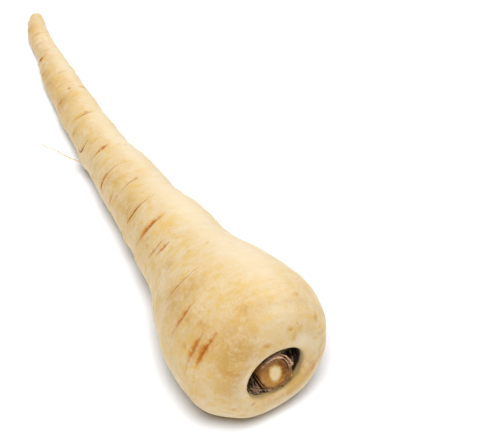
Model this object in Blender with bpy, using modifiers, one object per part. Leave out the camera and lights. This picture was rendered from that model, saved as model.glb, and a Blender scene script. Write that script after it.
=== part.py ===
"""A parsnip lying on its side: the taproot, the dried leaf bases and cut leaf stalk in its crown, and one
fine side root. The tip points to -X, the crown to +X. The origin is under the middle of its box."""

import math

import bpy
import numpy as np
from mathutils import Vector

MM = 0.001

# The taproot: half its thickness (mm) at distances along it from the tip (mm)
BULB_AT, BULB_RADIUS = 217.0, 31.0
GIRTH = [
    (2.6, 2.6), (7, 3.7), (13, 4.7), (22, 4.9), (33, 5.9), (44, 7.0), (56, 7.8), (69, 8.5), (82, 9.1),
    (95, 10.0), (108, 11.0), (121, 12.8), (134, 13.7), (147, 15.0), (159, 17.2), (172, 18.6), (185, 21.6),
    (196, 25.6), (207, 29.2), (BULB_AT, BULB_RADIUS),
]
# How far (mm) it bends towards +Y at distances from the tip (mm), and how far the crown droops past the bulb
BEND = [
    (0, 9.6), (15, 4.6), (28, 3.0), (41, 1.4), (56, 0.1), (74, -1.1), (93, -2.0), (112, -1.7), (131, -1.3),
    (152, -0.6), (180, 0.0), (BULB_AT, 0.0), (242, 1.7),
]
CROWN_DROOP = 0.6
TIP_ROUND = 2.6
# The shoulder runs from the bulb to the flat crest around the crown's hollow, as a quarter of a superellipse
CREST_AT, CREST_RADIUS, SHOULDER_POWER = 242.0, 14.6, 2.4
HOLLOW_RADIUS, LIP_ROUND, HOLLOW_DEPTH = 12.5, 1.8, 7.6
# Lying down, it touches the surface under the bulb and here near the tip, and the skin gives by this much
TOUCH_AT, TOUCH_RADIUS, GIVE = 13.0, 4.7, 0.7
STEPS_ROUND, BODY_RINGS, SHOULDER_RINGS, CORNER_RINGS = 48, 56, 14, 4

# The crown, in mm: places are (towards +Y, up) from the root's middle, and depths are below the crest
GAP = 0.3
STALK_MIDDLE, STALK_RADIUS, STALK_DEPTH = (-0.6, 0.1), 5.8, 0.5
STALK_SLANT = math.radians(15)  # the cut leaves the lower side longer
STALK_SIDES, STALK_EDGE = 40, 0.4
SHEATH_INSIDE, SHEATH_WALL, SHEATH_DEPTH = 6.1, 0.6, 0.2
# Each dried leaf base: its first and last angle round the crown, the radius of its arc, its half thickness
LEAF_BASES = {
    "leaf_base_upper": (22, 168, 9.7, 2.5),
    "leaf_base_lower": (184, 266, 10.35, 1.85),
    "leaf_base_right": (282, 370, 10.3, 1.85),
}
LEAF_BASE_POINTS, LEAF_BASE_THIN_END = 15, 0.45

# The fine side root leaves the flank on the -Y side
ROOTLET_RADIUS = 0.3
ROOTLET_ROUTE = [
    (96, -11.9, 11), (93, -14.5, 11.5), (90, -16.5, 12), (87, -19, 13), (84, -21.5, 14), (81, -23.5, 14.5),
]


def smooth(at, stations):
    """A smooth curve through (distance, value) stations: each span is a cubic, its end slopes taken from the
    neighbouring stations."""
    xs, ys = np.array(stations, float).T
    slopes = np.gradient(ys, xs)
    at = np.clip(np.asarray(at, float), xs[0], xs[-1])
    i = np.clip(np.searchsorted(xs, at) - 1, 0, len(xs) - 2)
    span = xs[i + 1] - xs[i]
    t = (at - xs[i]) / span
    rise = ys[i] * (1 + 2 * t) * (1 - t) ** 2 + ys[i + 1] * t**2 * (3 - 2 * t)
    return rise + span * (slopes[i] * t * (1 - t) ** 2 - slopes[i + 1] * t**2 * (1 - t))


def outline():
    """The root's outline (radius, distance from the tip), from the middle of the hollow's floor, over the lip
    and the shoulder, and down to the tip."""
    floor_at = CREST_AT - HOLLOW_DEPTH
    turn = np.linspace(0, math.pi / 2, CORNER_RINGS)
    corner = LIP_ROUND * np.stack([np.sin(turn) - 1, 1 - np.cos(turn)], 1) + (HOLLOW_RADIUS, floor_at)
    lip = LIP_ROUND * np.stack([1 - np.cos(turn), np.sin(turn) - 1], 1) + (HOLLOW_RADIUS, CREST_AT)
    swing = np.linspace(0, math.pi / 2, SHOULDER_RINGS)
    out = np.sin(swing) ** (2 / SHOULDER_POWER)
    back = np.cos(swing) ** (2 / SHOULDER_POWER)
    shoulder = np.stack([CREST_RADIUS + (BULB_RADIUS - CREST_RADIUS) * out,
                         BULB_AT + (CREST_AT - BULB_AT) * back], 1)
    along = np.linspace(BULB_AT, TIP_ROUND, BODY_RINGS)[1:]
    body = np.stack([smooth(along, GIRTH), along], 1)
    tip = np.stack([GIRTH[0][1] * np.cos(turn), TIP_ROUND * (1 - np.sin(turn))], 1)[1:]
    middle = [(0, floor_at), (HOLLOW_RADIUS / 2, floor_at)]
    points = np.concatenate([middle, corner, lip, shoulder, body, tip])
    points[-1, 0] = 0
    return points


def middle_line(along):
    """The root's middle line: it bends sideways, climbs evenly as the root lies down, and droops past the
    bulb with the square of the distance."""
    climb = (BULB_RADIUS - TOUCH_RADIUS) / (BULB_AT - TOUCH_AT)
    past = np.maximum(along - BULB_AT, 0) / (CREST_AT - BULB_AT)
    height = TOUCH_RADIUS + climb * (along - TOUCH_AT) - CROWN_DROOP * past**2
    return np.stack([along, smooth(along, BEND), height], -1)


def carried(across, up, along):
    """Points given beside the straight root (mm), carried onto its middle line."""
    along = np.asarray(along, float)
    ahead = middle_line(along + 0.5) - middle_line(along - 0.5)
    ahead /= np.linalg.norm(ahead, axis=-1, keepdims=True)
    side = np.cross((0, 0, 1), ahead)
    side /= np.linalg.norm(side, axis=-1, keepdims=True)
    above = np.cross(ahead, side)
    return middle_line(along) + np.asarray(across)[..., None] * side + np.asarray(up)[..., None] * above


def crown_point(radius, angle, depth):
    """A point in the crown, from its radius and angle round the root and its depth below the crest."""
    return carried(radius * np.cos(angle), radius * np.sin(angle), CREST_AT - depth + 0 * np.asarray(angle))


def material(name, color, roughness):
    made = bpy.data.materials.new(name)
    made.use_nodes = True
    shader = made.node_tree.nodes["Principled BSDF"]
    shader.inputs["Base Color"].default_value = (*color, 1)
    shader.inputs["Roughness"].default_value = roughness
    shader.inputs["Metallic"].default_value = 0
    return made


def add(collection, name, data, look):
    """An object of the part, with its material."""
    made = bpy.data.objects.new(name, data)
    data.materials.append(look)
    collection.objects.link(made)
    return made


def evaluated_mesh(source):
    """The object's shape with its modifiers, as a mesh of its own."""
    graph = bpy.context.evaluated_depsgraph_get()
    return bpy.data.meshes.new_from_object(source.evaluated_get(graph))


def make_root(collection, look):
    """The outline turned round the Z axis, then carried onto the middle line and laid down. Returns the
    shift that puts the origin under the middle of its box."""
    points = outline()
    rail = bpy.data.meshes.new("root_outline")
    start = math.pi / STEPS_ROUND  # half a step round, so that a facet and not an edge is underneath
    rail.from_pydata([(r * math.cos(start), r * math.sin(start), z) for r, z in points],
                     [(i, i + 1) for i in range(len(points) - 1)], [])
    turned = bpy.data.objects.new("root_outline", rail)
    collection.objects.link(turned)
    screw = turned.modifiers.new("turn", "SCREW")
    screw.axis = "Z"
    screw.steps = screw.render_steps = STEPS_ROUND
    screw.use_merge_vertices = True
    screw.merge_threshold = 0.0001
    data = evaluated_mesh(turned)
    bpy.data.objects.remove(turned)

    flat = np.empty(3 * len(data.vertices), np.float32)
    data.vertices.foreach_get("co", flat)
    across, up, along = flat.reshape(-1, 3).astype(float).T
    laid = carried(across, up, along)
    laid[:, 2] = np.maximum(laid[:, 2], GIVE) - GIVE
    shift = np.array([*(laid.min(0) + laid.max(0))[:2] / 2, GIVE])
    laid[:, :2] -= shift[:2]
    data.vertices.foreach_set("co", (laid * MM).ravel())
    data.update()
    data.shade_smooth()
    add(collection, "root", data, look)
    return shift


def stalk_turn():
    """How the stalk's cylinders are turned: their Z square to the hollow's floor, and their Y up."""
    foot = CREST_AT - HOLLOW_DEPTH
    axis = carried(0, 0, foot + 0.5) - carried(0, 0, foot - 0.5)
    return Vector(axis).to_track_quat("Z", "Y").to_euler()


def make_stalk(collection, stub_look, sheath_look, shift):
    """The cut stalk, a short cylinder, and the torn sheath that stands round it. Both are cut on a slant."""
    foot = HOLLOW_DEPTH - GAP
    pieces = (("stalk_stub", STALK_RADIUS, STALK_DEPTH, "NGON", stub_look),
              ("stalk_sheath", SHEATH_INSIDE, SHEATH_DEPTH, "NOTHING", sheath_look))
    for name, radius, depth, ends, look in pieces:
        middle = carried(*STALK_MIDDLE, CREST_AT - (foot + depth) / 2) - shift
        bpy.ops.mesh.primitive_cylinder_add(
            vertices=STALK_SIDES, radius=radius * MM, depth=(foot - depth) * MM, end_fill_type=ends,
            location=middle * MM, rotation=stalk_turn(),
        )
        made = bpy.context.object
        made.name = made.data.name = name
        made.data.materials.append(look)
        for corner in made.data.vertices:
            if corner.co.z > 0:
                corner.co.z -= corner.co.y * math.tan(STALK_SLANT)
        made.data.shade_smooth()
        for holder in made.users_collection:
            holder.objects.unlink(made)
        collection.objects.link(made)
        if ends == "NGON":
            edge = made.modifiers.new("edge", "BEVEL")
            edge.width = STALK_EDGE * MM
            edge.segments = 2
        else:
            wall = made.modifiers.new("wall", "SOLIDIFY")
            wall.thickness = SHEATH_WALL * MM
            wall.offset = 1


def tube(collection, name, points, radius, look, thickness=None):
    """A round rod along the points, with closed ends. thickness is a factor on its radius at each point."""
    data = bpy.data.curves.new(name, "CURVE")
    data.dimensions = "3D"
    data.bevel_depth = radius * MM
    data.bevel_resolution = 3
    data.use_fill_caps = True
    line = data.splines.new("POLY")
    line.points.add(len(points) - 1)
    for k, (spot, place) in enumerate(zip(line.points, points)):
        spot.co = (*Vector(place) * MM, 1)
        spot.radius = 1 if thickness is None else thickness[k]
    return add(collection, name, data, look)


def make_leaf_bases(collection, look, shift):
    """Crescents round the stalk, each thick in its middle and thin at its ends."""
    for name, (first, last, arc_radius, half_thickness) in LEAF_BASES.items():
        angle = np.radians(np.linspace(first, last, LEAF_BASE_POINTS))
        swell = np.sin(np.linspace(0, math.pi, LEAF_BASE_POINTS)) ** 0.6
        thickness = LEAF_BASE_THIN_END + (1 - LEAF_BASE_THIN_END) * swell
        depth = HOLLOW_DEPTH - GAP - half_thickness
        tube(collection, name, crown_point(arc_radius, angle, depth) - shift, half_thickness, look, thickness)


def make_rootlet(collection, look, shift):
    tube(collection, "rootlet", np.array(ROOTLET_ROUTE, float) - shift, ROOTLET_RADIUS, look)


def main():
    for old in list(bpy.data.objects):
        bpy.data.objects.remove(old)
    parsnip = bpy.data.collections.new("parsnip")
    bpy.context.scene.collection.children.link(parsnip)
    skin = material("skin", (0.82, 0.66, 0.38), 0.5)
    dried_leaf = material("dried_leaf", (0.06, 0.035, 0.025), 0.8)
    cut_stalk = material("cut_stalk", (0.55, 0.30, 0.12), 0.7)
    shift = make_root(parsnip, skin)
    make_leaf_bases(parsnip, dried_leaf, shift)
    make_stalk(parsnip, cut_stalk, dried_leaf, shift)
    make_rootlet(parsnip, skin, shift)


main()
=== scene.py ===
"""The looks of a parsnip that lies on its side: its creased skin, the scaly dried leaf bases and the cut leaf
stalk in its crown, and its fine side root. Lengths are in millimetres, but in metres in the materials and in
the studio."""

import math

import bpy
import numpy as np
from bpy.props import FloatProperty, FloatVectorProperty, IntProperty, PointerProperty
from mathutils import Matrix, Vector


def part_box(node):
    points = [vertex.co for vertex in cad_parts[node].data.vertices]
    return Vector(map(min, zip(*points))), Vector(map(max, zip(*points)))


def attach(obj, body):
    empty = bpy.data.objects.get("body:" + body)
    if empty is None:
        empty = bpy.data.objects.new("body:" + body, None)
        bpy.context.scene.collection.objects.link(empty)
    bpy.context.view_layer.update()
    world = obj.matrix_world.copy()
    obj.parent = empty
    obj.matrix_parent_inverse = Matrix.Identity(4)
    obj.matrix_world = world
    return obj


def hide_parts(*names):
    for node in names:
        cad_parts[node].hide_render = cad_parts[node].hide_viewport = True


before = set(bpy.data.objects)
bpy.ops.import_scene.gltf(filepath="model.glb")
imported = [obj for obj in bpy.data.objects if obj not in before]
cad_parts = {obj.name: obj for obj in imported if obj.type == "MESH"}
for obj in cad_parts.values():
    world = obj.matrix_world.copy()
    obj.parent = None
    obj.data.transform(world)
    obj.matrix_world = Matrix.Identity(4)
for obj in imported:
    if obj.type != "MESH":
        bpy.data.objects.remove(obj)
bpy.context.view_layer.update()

bl_info = {
    "name": "Parsnip",
    "version": (1, 0, 0),
    "blender": (4, 5, 0),
    "location": "View3D > Sidebar > Parsnip",
    "description": "Makes the skin, the crown and the side root of a parsnip, and a studio to show it in",
    "category": "Add Mesh",
}

MM = 0.001
TAU = 2 * math.pi

# ---------------------------------------------------------------- the root's form, as in the solid model

BULB_AT, BULB_RADIUS = 217.0, 31.0
GIRTH = [
    (2.6, 2.6), (7, 3.7), (13, 4.7), (22, 4.9), (33, 5.9), (44, 7.0), (56, 7.8), (69, 8.5), (82, 9.1),
    (95, 10.0), (108, 11.0), (121, 12.8), (134, 13.7), (147, 15.0), (159, 17.2), (172, 18.6), (185, 21.6),
    (196, 25.6), (207, 29.2), (BULB_AT, BULB_RADIUS),
]
BEND = [
    (0, 9.6), (15, 4.6), (28, 3.0), (41, 1.4), (56, 0.1), (74, -1.1), (93, -2.0), (112, -1.7), (131, -1.3),
    (152, -0.6), (180, 0.0), (BULB_AT, 0.0), (242, 1.7),
]
CROWN_DROOP = 0.6  # how far the crown's middle hangs down
TIP_ROUND = 2.6
CREST_AT, CREST_RADIUS, SHOULDER_POWER = 242.0, 14.6, 2.4
HOLLOW_RADIUS, LIP_ROUND, HOLLOW_DEPTH = 12.5, 1.8, 7.6
TOUCH_AT, TOUCH_RADIUS = 13.0, 4.7  # the thin end, where it lies on the ground
GIVE = 0.7  # how far the underside is pressed in
GAP = 0.3  # between the crown's pieces and the root
STALK_MIDDLE, STALK_RADIUS, STALK_DEPTH = (-0.6, 0.1), 5.8, 0.5
STALK_SLANT = math.radians(15)
SHEATH_INSIDE = 6.1
ROOTLET_RADIUS = 0.3
ROOTLET_ROUTE = [
    (96, -11.9, 11), (93, -14.5, 11.5), (90, -16.5, 12), (87, -19, 13), (84, -21.5, 14), (81, -23.5, 14.5),
]

# Angles in the lists are in degrees round the root: 0 is the +Y side, 90 the top, 180 the -Y side and 270 the
# underside.

# Gentle bulges and dips of the skin: distance from the tip, angle, height, half length, half width in degrees
SWELLS = [
    (0.8, 90, 0.6, 2.2, 75), (3, 178, 0.35, 2.5, 40), (2.5, 0, 0.35, 3, 50), (6, 178, 0.6, 5, 40),
    (9.5, 0, -0.2, 3, 40), (14, 5, 0.2, 3, 40), (21, 17, 0.3, 5, 40), (28, 185, -0.4, 4, 40),
    (33, 190, -0.25, 3, 40), (34, 14, 0.15, 3, 40), (47, 20, 0.25, 5, 40), (46, 190, 0.45, 5, 40),
    (62, 194, -0.4, 3, 40), (70, 20, 0.35, 5, 40), (73, 195, 0.4, 5, 40), (86, 23, 0.35, 4, 40),
    (97.4, 192, 1, 3.2, 28), (104, 26, -0.5, 4, 40), (107, 195, 0.2, 5, 40), (117, 29, 0.35, 5, 40),
    (130, 196, 0.2, 6, 35), (140, 28, -0.5, 4, 40), (140, 195, 0.4, 4, 40), (147, 192, 1.05, 2.6, 34),
    (154, 32, 0.5, 5, 40), (157, 198, -0.6, 4, 35), (165, 27, 0.25, 5, 40), (190, 190, 0.85, 7, 35),
    (196, 180, 0.35, 3.5, 35), (198, 38, 0.25, 8, 35), (203, 197, -0.3, 4, 30), (217, 195, -0.4, 5, 30),
    (222, 22, 0.4, 5, 35), (224, 199, -0.2, 3, 25), (230, 207, 0.85, 4, 25), (236, 358, -0.6, 4, 40),
    (237.5, 205, -0.6, 3, 35),
]

# Slits and creases across the skin that can be seen from above: distance from the tip, first and last angle,
# the angle where it is darkest, half width, darkness, warmth of the skin beside it, and bow towards the crown
SLITS = [
    (17.4, 40, 160, 110, 0.28, 0.15, 0.4, 0.5), (24.5, 50, 160, 118, 0.28, 0.13, 0.4, 0.5),
    (31.3, 70, 150, 105, 0.28, 0.1, 0.3, 0.5), (34.7, 106, 156, 141, 0.45, 0.8, 1, 0.2),
    (39.2, 118, 150, 134, 0.28, 0.25, 0.35, 0), (43.7, 129, 163, 157, 0.38, 0.65, 0.8, 0.3),
    (50.3, 50, 160, 85, 0.28, 0.14, 0.35, 0.6), (58.8, 50, 150, 105, 0.28, 0.15, 0.35, 0.4),
    (62.7, 25, 80, 52, 0.35, 0.15, 0.6, 0.6), (64, 104, 140, 120, 0.22, 0.14, 0.1, 0.2),
    (67, 121, 156, 142, 0.35, 0.4, 0.6, 0.3), (82.3, 56, 137, 98, 0.35, 0.58, 0.4, 0.8),
    (86.6, 116, 161, 156, 0.32, 0.5, 0.45, 0.4), (97, 123, 167, 159, 0.45, 0.9, 0.75, 0.6),
    (100.2, 100, 137, 120, 0.22, 0.18, 0.15, 0.3), (107, 92, 150, 112, 0.36, 0.7, 0.65, 0.2),
    (122.6, 86, 171, 155, 0.42, 0.72, 0.75, -1.2), (131, 138, 176, 158, 0.3, 0.42, 0.4, 0.2),
    (134.3, 93, 158, 104, 0.3, 0.42, 0.35, 0.3), (148, 87, 157, 135, 0.45, 0.75, 0.6, 0.2),
    (161.3, 96, 161, 126, 0.6, 0.72, 1.2, 0.5), (172.8, 113, 150, 134, 0.42, 0.55, 0.5, 0.3),
    (176.4, 113, 140, 126, 0.5, 0.55, 0.85, 0.1), (186, 134, 157, 146, 0.25, 0.12, 0.1, 0.1),
    (202, 107, 151, 127, 0.38, 0.5, 0.4, 0.5), (215.2, 122, 154, 136, 0.55, 0.5, 0.95, 0.2),
    (226.1, 132, 171, 145, 0.8, 0.45, 1, 0.2), (229.9, 123, 159, 141, 0.7, 0.68, 1.55, 0.2),
]

# More slits where the root turns away: how many, the seed for their random places, and the ranges of their
# distance from the tip, of the angle of their middle and of half their length as an angle
HIDDEN_SLITS, HIDDEN_SEED = 40, 11
HIDDEN_ALONG, HIDDEN_MIDDLE, HIDDEN_HALF = (16, 234), (215, 375), (9, 30)
GROOVE_DEPTH, GROOVE_RIM = 0.42, 0.12  # a slit's groove and the raised rims beside it

# Small dark dots, where root hairs were: distance from the tip, angle, radius, darkness
DOTS = [
    (63.1, 95, 0.75, 0.8), (82.3, 91, 0.6, 0.6), (87.3, 158, 0.6, 0.5), (95.9, 165, 0.7, 0.6),
    (107, 109, 0.9, 0.8), (134.3, 96, 0.7, 0.6), (111.6, 173, 0.8, 0.7), (109, 74, 0.5, 0.3),
    (110, 59, 0.6, 0.4), (124, 163, 0.7, 0.5), (124.5, 300, 0.7, 0.6), (70, 250, 0.7, 0.6),
    (155, 330, 0.8, 0.6), (190, 260, 0.9, 0.5),
]
DOT_DEPTH = 0.3

# Tan and orange stains on the body, and pale patches: distance from the tip, angle, half length, half width,
# tan (below 0 for a pale patch), orange. The pale patches, long and at 62 to 80 degrees, are a painted
# highlight along the lit top of the root. The long tan bands at 127 to 142 degrees deepen the upper left
# flank's colour.
BODY_STAINS_AND_HIGHLIGHTS = [
    (20, 80, 28, 9, -0.25, 0.09), (45, 62, 30, 4, -0.75, 0), (105, 62, 32, 6, -0.85, 0),
    (160, 65, 25, 9, -0.9, 0), (205, 68, 22, 15, -0.85, 0), (60, 140, 26, 3, 0.15, 0),
    (105, 142, 22, 4, 0.25, 0), (150, 142, 24, 6, 0.4, 0), (205, 138, 14, 9, 0.35, 0),
    (218, 138, 8, 9, 0.3, 0), (236, 133, 8, 9, 0.25, 0), (12, 140, 4, 3, 0.5, 0.1), (50, 153, 8, 4, 0.5, 0.1),
    (69, 130, 4, 5.5, 0.75, 0.14), (127, 127, 6, 6, 0.3, 0), (143, 132, 6, 5, 0.4, 0),
    (187, 129, 3, 2.5, 0.5, 0.1), (209, 115, 4, 5, 0.5, 0.1), (207, 132, 5, 6, 0.5, 0.1),
    (225, 128, 2, 1.5, 0.5, 0.15), (230, 99, 4, 5, 0.3, 0.1), (230, 98, 1.4, 1.4, 0.6, 0.25),
    (232, 86, 2, 2, 0.5, 0.1), (231, 54, 1, 1.2, 0.9, 0.3), (235, 118, 7, 9, 0.45, 0.1),
    (95, 300, 8, 8, 0.5, 0.1), (180, 280, 10, 12, 0.5, 0.1), (140, 340, 8, 8, 0.4, 0),
    (210, 330, 9, 12, 0.4, 0.1), (225, 250, 8, 10, 0.4, 0.2),
]
# The same on the shoulder, where the first number is the distance from the root's middle. Its pale patches
# are painted highlight: a ring along the hollow's lip at 145 to 200 degrees, and patches where the crown
# faces the light. The tan patches on the lip at 268 to 345 degrees are partly the crown's own tan and partly
# painted shade on the lip's lower side.
CROWN_STAINS_AND_HIGHLIGHTS = [
    (23, 135, 5, 8, 0.5, 0.08), (21, 168, 5, 7, 0.5, 0.03), (22, 146, 3, 0.9, 0.4, 0.4),
    (25.5, 35, 1.2, 1.2, 0.9, 0.3), (21.8, 70, 0.6, 1.1, 0.8, 0.45), (18.4, 64, 1.6, 0.9, 0.7, 0.2),
    (20, 60, 3, 3, 0.25, 0.05), (21.5, 24, 0.6, 0.6, 0.8, 0.2), (23.6, 19, 0.6, 0.7, 0.7, 0.1),
    (19.6, 29, 0.6, 0.6, 0.7, 0.1), (14.9, 224, 1, 0.7, 0.9, 0.7), (18.5, 347, 2.5, 3, 0.35, 0.12),
    (17, 339, 1.3, 2.3, 0.4, 0.2), (22, 226, 3, 2, 0.3, 0.1), (26, 290, 4, 6, 0.3, 0.1),
    (14.6, 145, 1.1, 9, -0.7, 0), (15, 200, 1.2, 6, -0.35, 0), (17, 50, 3, 7, -0.8, 0),
    (18, 15, 3, 5, -0.5, 0), (25, 75, 5, 9, -0.5, 0), (15, 300, 2.2, 9, 0.6, 0.12),
    (15.5, 268, 2.5, 6, 0.5, 0.1), (15, 345, 2, 5, 0.5, 0.1), (22, 320, 4, 8, -0.6, 0),
]
FRECKLES, FRECKLE_SEED = 90, 21
FRECKLED = (BULB_AT - 45, BULB_AT + 42)  # where they lie, as a distance from the tip along the skin

# Uneven surfaces: their usual height, how many waves are added up, the most crests that one has round the
# root, the range of their lengths along it, and their seed. The skin's sizes and a scale's raggedness are
# factors on the height.
WAVES = {
    "lumps": (1, 26, 5, (16, 70), 3),
    "growth rings": (1, 30, 2, (3.2, 9), 5),
    "uneven rings": (0.5, 8, 4, (30, 80), 6),
    "wrinkles": (0.5, 40, 26, (4, 12), 7),
    "scale teeth": (0.625, 9, 60, (1, 2), 0),
    "fine scale teeth": (0.4375, 9, 140, (1, 2), 1),
    "scale ridges": (0.1, 10, 170, (6, 20), 2),
    "scale wander": (0.22, 5, 12, (1, 2), 3),
    "sheath teeth": (1, 9, 14, (1, 2), 0),
    "fine sheath teeth": (0.5, 9, 45, (1, 2), 1),
    "sheath ridges": (0.06, 10, 110, (6, 20), 2),
    "stalk girth": (0.022, 8, 7, (1, 2), 60),
    "fine stalk girth": (0.012, 8, 24, (1, 2), 61),
    "cut ridges": (0.1, 16, 9, (3, 8), 62),
    "cut grain": (0.045, 16, 70, (3, 9), 63),
}
FULL_FROM = 16  # lumps and wrinkles have their full height from this radius up
RINGS_MORE, MORE_UP_TO = 2.2, 120  # the rings are higher near the tip: by how much, and up to where
LIP_FADE = 3  # the relief fades out over this distance outside the hollow's wall
SLITS_END = 1 / 3  # slits and stains end at this share of the hollow's depth

# ---------------------------------------------------------------- the root's plain form


def smooth(at, stations):
    """A smooth curve through (distance, value) stations: each span is a cubic, its end slopes taken from the
    neighbouring stations."""
    xs, ys = np.array(stations, float).T
    slopes = np.gradient(ys, xs)
    at = np.clip(np.asarray(at, float), xs[0], xs[-1])
    i = np.clip(np.searchsorted(xs, at) - 1, 0, len(xs) - 2)
    span = xs[i + 1] - xs[i]
    t = (at - xs[i]) / span
    rise = ys[i] * (1 + 2 * t) * (1 - t) ** 2 + ys[i + 1] * t**2 * (3 - 2 * t)
    return rise + span * (slopes[i] * t * (1 - t) ** 2 - slopes[i + 1] * t**2 * (1 - t))


def unit(vectors):
    """The same directions with a length of 1."""
    return vectors / np.maximum(np.linalg.norm(vectors, axis=-1, keepdims=True), 1e-12)


def middle_line(along):
    """The root's middle line: it bends sideways, climbs evenly as the root lies down, and droops past the
    bulb with the square of the distance."""
    climb = (BULB_RADIUS - TOUCH_RADIUS) / (BULB_AT - TOUCH_AT)
    past = np.maximum(along - BULB_AT, 0) / (CREST_AT - BULB_AT)
    height = TOUCH_RADIUS + climb * (along - TOUCH_AT) - CROWN_DROOP * past**2
    return np.stack([along, smooth(along, BEND), height], -1)


def carried(across, up, along):
    """Points given beside a straight root, carried onto its middle line: the line's point, plus across times
    the level direction square to the line, plus up times the direction square to both."""
    along = np.asarray(along, float)
    ahead = unit(middle_line(along + 0.5) - middle_line(along - 0.5))
    side = unit(np.cross((0, 0, 1), ahead))
    above = np.cross(ahead, side)
    return middle_line(along) + np.asarray(across)[..., None] * side + np.asarray(up)[..., None] * above


def outline(rows):
    """The root's outline (radius, distance from the tip) in even steps: a round tip, the body through its
    stations, a quarter of a superellipse for the shoulder, a round lip, the wall, a round corner and the
    hollow's floor."""
    body_steps, shoulder_steps, corner_steps = 900, 200, 40
    quarter = np.linspace(0, math.pi / 2, corner_steps)
    tip = np.stack([GIRTH[0][1] * np.sin(quarter), TIP_ROUND * (1 - np.cos(quarter))], 1)
    along = np.linspace(TIP_ROUND, BULB_AT, body_steps)[1:]
    body = np.stack([smooth(along, GIRTH), along], 1)
    swing = np.linspace(math.pi / 2, 0, shoulder_steps)[1:]
    out = np.sin(swing) ** (2 / SHOULDER_POWER)
    back = np.cos(swing) ** (2 / SHOULDER_POWER)
    shoulder = np.stack([CREST_RADIUS + (BULB_RADIUS - CREST_RADIUS) * out,
                         BULB_AT + (CREST_AT - BULB_AT) * back], 1)
    lip = LIP_ROUND * np.stack([1 - np.sin(quarter), np.cos(quarter) - 1], 1) + (HOLLOW_RADIUS, CREST_AT)
    floor_at = CREST_AT - HOLLOW_DEPTH
    corner = LIP_ROUND * np.stack([np.cos(quarter) - 1, 1 - np.sin(quarter)], 1) + (HOLLOW_RADIUS, floor_at)
    points = np.concatenate([tip, body, shoulder, lip, corner, [(0, floor_at)]])
    length = np.concatenate([[0], np.cumsum(np.linalg.norm(np.diff(points, axis=0), axis=1))])
    even = np.linspace(0, length[-1], rows)
    return np.interp(even, length, points[:, 0]), np.interp(even, length, points[:, 1])


def plain_root(sizes):
    """The root without its relief, as grids of rows along its outline and sides round it: the points, and at
    each the angle, the distance from the tip, the radius, and the depth down the hollow from 0 to 1."""
    radius, along = outline(sizes.rows)
    inside = np.zeros(sizes.rows)
    past_lip = (np.arange(sizes.rows) > np.argmax(along)) & (radius < HOLLOW_RADIUS + LIP_ROUND)
    inside[past_lip] = np.clip((CREST_AT - along[past_lip]) / HOLLOW_DEPTH, 0, 1)
    along, radius, inside = along[:, None], radius[:, None], inside[:, None]
    angle = np.linspace(0, TAU, sizes.sides, endpoint=False)
    angle, along, radius, inside = np.broadcast_arrays(angle, along, radius, inside)
    return carried(radius * np.cos(angle), radius * np.sin(angle), along), angle, along, radius, inside


def corners(points):
    """The lowest and the highest corner of the points' box."""
    flat = points.reshape(-1, 3)
    return flat.min(0), flat.max(0)


def solid_corners():
    """The same of the solid root, in millimetres."""
    lowest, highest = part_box("root")
    return np.array(lowest) / MM, np.array(highest) / MM


def root_shift(sizes):
    """The way from the solid root to the plain one: between the middles of their boxes, but in height only as
    far as the skin is pressed in underneath."""
    shift = sum(corners(plain_root(sizes)[0])) / 2 - sum(solid_corners()) / 2
    shift[2] = GIVE
    return shift


def crown_point(radius, angle, depth, middle=(0, 0)):
    """A point in the crown, from its radius and angle round a middle beside the root's middle line, and its
    depth below the crest."""
    radius, angle, depth = np.broadcast_arrays(radius, angle, depth)
    return carried(middle[0] + radius * np.cos(angle), middle[1] + radius * np.sin(angle), CREST_AT - depth)


# ---------------------------------------------------------------- surfaces


def waves(length, angle, kind, further=0):
    """The sum of cosine waves of one kind, each with a whole number of crests round the root and a wavelength
    along it. It is scaled so that its usual height is the kind's. Further is added to the seed."""
    height, count, crests, lengths, seed = WAVES[kind]
    draw = np.random.default_rng(seed + further)
    total = 0
    for _ in range(count):
        around = draw.integers(0, crests + 1)
        along = TAU / draw.uniform(*lengths)
        total = total + np.cos(around * angle + along * length + draw.uniform(0, TAU))
    return height * total / math.sqrt(count / 2)


def hump(distance, width):
    """A bell curve: 1 where the distance is 0, and 0.37 where it is the width."""
    return np.exp(-((distance / width) ** 2))


def wrapped(angle):
    """The angle brought between minus and plus half a turn."""
    return (angle + math.pi) % TAU - math.pi


def bell(angle, middle, width):
    """A hump of the angle round a middle, which with the width is in degrees."""
    return hump(wrapped(angle - math.radians(middle)), math.radians(width))


def normals(points):
    """Unit vectors out of a grid of points: the cross product of its steps round and along."""
    around = np.roll(points, -1, 1) - np.roll(points, 1, 1)
    out = np.cross(around, np.gradient(points, axis=0))
    out[0] = out[1].mean(0)
    out[-1] = out[-2].mean(0)
    return unit(out)


def close_ends(grid):
    """Draws the first row of a grid together to one point, and the last row to another."""
    grid[0], grid[-1] = grid[0].mean(0), grid[-1].mean(0)
    return grid


def per_point(field):
    """A grid's values in the order of its mesh's points, where the first and the last row are one point."""
    return np.concatenate([field[:1, 0], field[1:-1].reshape(-1, *field.shape[2:]), field[-1:, 0]])


def enclosed_volume(points, triangles):
    """Six times the volume inside: the sum of each triangle's triple product."""
    a, b, c = (points[triangles[:, k]] for k in range(3))
    return (a * np.cross(b, c)).sum()


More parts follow.
